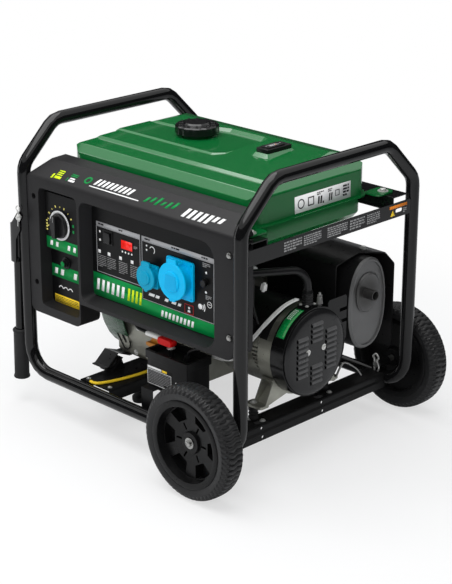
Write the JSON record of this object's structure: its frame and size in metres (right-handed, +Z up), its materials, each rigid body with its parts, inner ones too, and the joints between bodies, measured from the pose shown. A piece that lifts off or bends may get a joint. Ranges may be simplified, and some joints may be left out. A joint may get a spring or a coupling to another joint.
{
  "type": "portable generator",
  "caption": "Open tubular frame on two wheels carrying a petrol engine and alternator on one shaft, a fuel tank on top and a control housing with lidded power sockets.",
  "frame": {"origin": "middle of the bounding box in plan, on the floor", "axes": "+X towards the wheeled end, -Y towards the control side, +Z up"},
  "size_m": [0.8278, 0.756, 0.7156],
  "materials": {
    "frame_paint": "gloss black powder coat",
    "black_sheet": "satin black paint on pressed sheet",
    "tank_green": "gloss green enamel",
    "shroud_green": "dull dark green paint",
    "panel_plastic": "fine-grained dark grey moulding",
    "black_plastic": "smooth black moulding",
    "socket_blue": "smooth light blue moulding",
    "rubber": "dull black rubber",
    "tyre": "worn black tread rubber",
    "aluminium": "sand-cast, lightly stained",
    "steel": "zinc plated",
    "muffler_grey": "heat-proof dark grey paint",
    "orange_plastic": "orange moulding",
    "boot_red": "red rubber boot and white sleeve"
  },
  "bodies": {
    "frame": {"frame_hoop_right": "frame_paint", "frame_hoop_left": "frame_paint", "end_plate_left": "frame_paint", "end_plate_right": "frame_paint", "tank_rail_front": "frame_paint", "tank_rail_rear": "frame_paint", "axle_bracket_front": "frame_paint", "axle_bracket_rear": "frame_paint", "mid_cross_channel": "black_sheet", "end_cross_channel": "black_sheet", "support_stand": "black_sheet", "engine_cradle": "black_sheet", "end_bell": "black_sheet", "end_cover": "black_sheet", "muffler_guard": "black_sheet", "battery_tray": "black_sheet", "foot_pad_front": "rubber", "foot_pad_rear": "rubber", "engine_mount_front": "rubber", "engine_mount_rear": "rubber", "alternator_mount_front": "rubber", "alternator_mount_rear": "rubber", "fuel_gauge": "black_plastic", "control_plate": "black_plastic", "fuel_plate": "black_plastic", "battery": "black_plastic", "conduit_hose": "black_plastic", "air_cleaner": "black_plastic", "axle_pin_front": "steel", "axle_pin_rear": "steel", "handle_pin_front": "steel", "handle_pin_rear": "steel", "fuel_tank": "tank_green", "fan_shroud": "shroud_green", "control_housing": "panel_plastic", "socket_16a": "socket_blue", "socket_32a": "socket_blue", "alternator_foot": "aluminium", "engine_block": "aluminium", "engine_cylinder": "aluminium", "alternator_stator": "aluminium", "carburettor": "aluminium", "muffler": "muffler_grey", "battery_lead": "boot_red"},
    "wheel_front": {"wheel_tyre_front": "tyre", "wheel_hub_front": "black_plastic"},
    "wheel_rear": {"wheel_tyre_rear": "tyre", "wheel_hub_rear": "black_plastic"},
    "handle_front": {"handle_arm_front": "frame_paint", "handle_grip_front": "rubber"},
    "handle_rear": {"handle_arm_rear": "frame_paint", "handle_grip_rear": "rubber"},
    "cap": {"filler_cap": "black_plastic"},
    "dial": {"selector_dial": "black_plastic"},
    "rocker": {"ignition_switch": "black_plastic"},
    "lid_16a": {"socket_16a_lid": "socket_blue"},
    "lid_32a": {"socket_32a_lid": "socket_blue"},
    "breaker": {"breaker_button": "black_plastic"},
    "dipstick": {"oil_dipstick": "orange_plastic"},
    "rotor": {"rotor_shaft": "steel"}
  },
  "joints": [
    {"name": "wheel_front_spin", "type": "hinge", "parent": "frame", "child": "wheel_front", "pos_m": [0.2839, -0.348, 0.13], "axis": [0, 1, 0], "continuous": true},
    {"name": "wheel_rear_spin", "type": "hinge", "parent": "frame", "child": "wheel_rear", "pos_m": [0.2839, 0.348, 0.13], "axis": [0, 1, 0], "continuous": true},
    {"name": "handle_front_fold", "type": "hinge", "parent": "frame", "child": "handle_front", "pos_m": [-0.3521, -0.28, 0.483], "axis": [0, 1, 0], "range_deg": [0, 88]},
    {"name": "handle_rear_fold", "type": "hinge", "parent": "frame", "child": "handle_rear", "pos_m": [-0.3521, 0.28, 0.483], "axis": [0, 1, 0], "range_deg": [0, 88]},
    {"name": "filler_cap_turn", "type": "hinge", "parent": "frame", "child": "cap", "pos_m": [-0.0951, 0.036, 0.68], "axis": [0, 0, 1], "range_deg": [0, 90]},
    {"name": "selector_dial_turn", "type": "hinge", "parent": "frame", "child": "dial", "pos_m": [-0.2341, -0.275, 0.483], "axis": [0, -1, 0], "range_deg": [-60, 60]},
    {"name": "ignition_rocker_tip", "type": "hinge", "parent": "frame", "child": "rocker", "pos_m": [-0.0861, -0.258, 0.484], "axis": [1, 0, 0], "range_deg": [-9, 9]},
    {"name": "lid_16a_lift", "type": "hinge", "parent": "frame", "child": "lid_16a", "pos_m": [0.0599, -0.2748, 0.463], "axis": [-1, 0, 0], "range_deg": [0, 105], "stiffness_Nm_per_rad": 0.012, "springref_deg": -28.65},
    {"name": "lid_32a_lift", "type": "hinge", "parent": "frame", "child": "lid_32a", "pos_m": [0.1539, -0.2828, 0.494], "axis": [-1, 0, 0], "range_deg": [0, 105], "stiffness_Nm_per_rad": 0.03, "springref_deg": -28.65},
    {"name": "oil_dipstick_turn", "type": "hinge", "parent": "frame", "child": "dipstick", "pos_m": [-0.0451, -0.15, 0.206], "axis": [0, -1, 0], "range_deg": [0, 180]},
    {"name": "rotor_spin", "type": "hinge", "parent": "frame", "child": "rotor", "pos_m": [0.2029, -0.028, 0.263], "axis": [1, 0, 0], "continuous": true},
    {"name": "breaker_push", "type": "slide", "parent": "frame", "child": "breaker", "axis": [0, 1, 0], "range_m": [0, 0.003], "stiffness_N_per_m": 250}
  ]
}
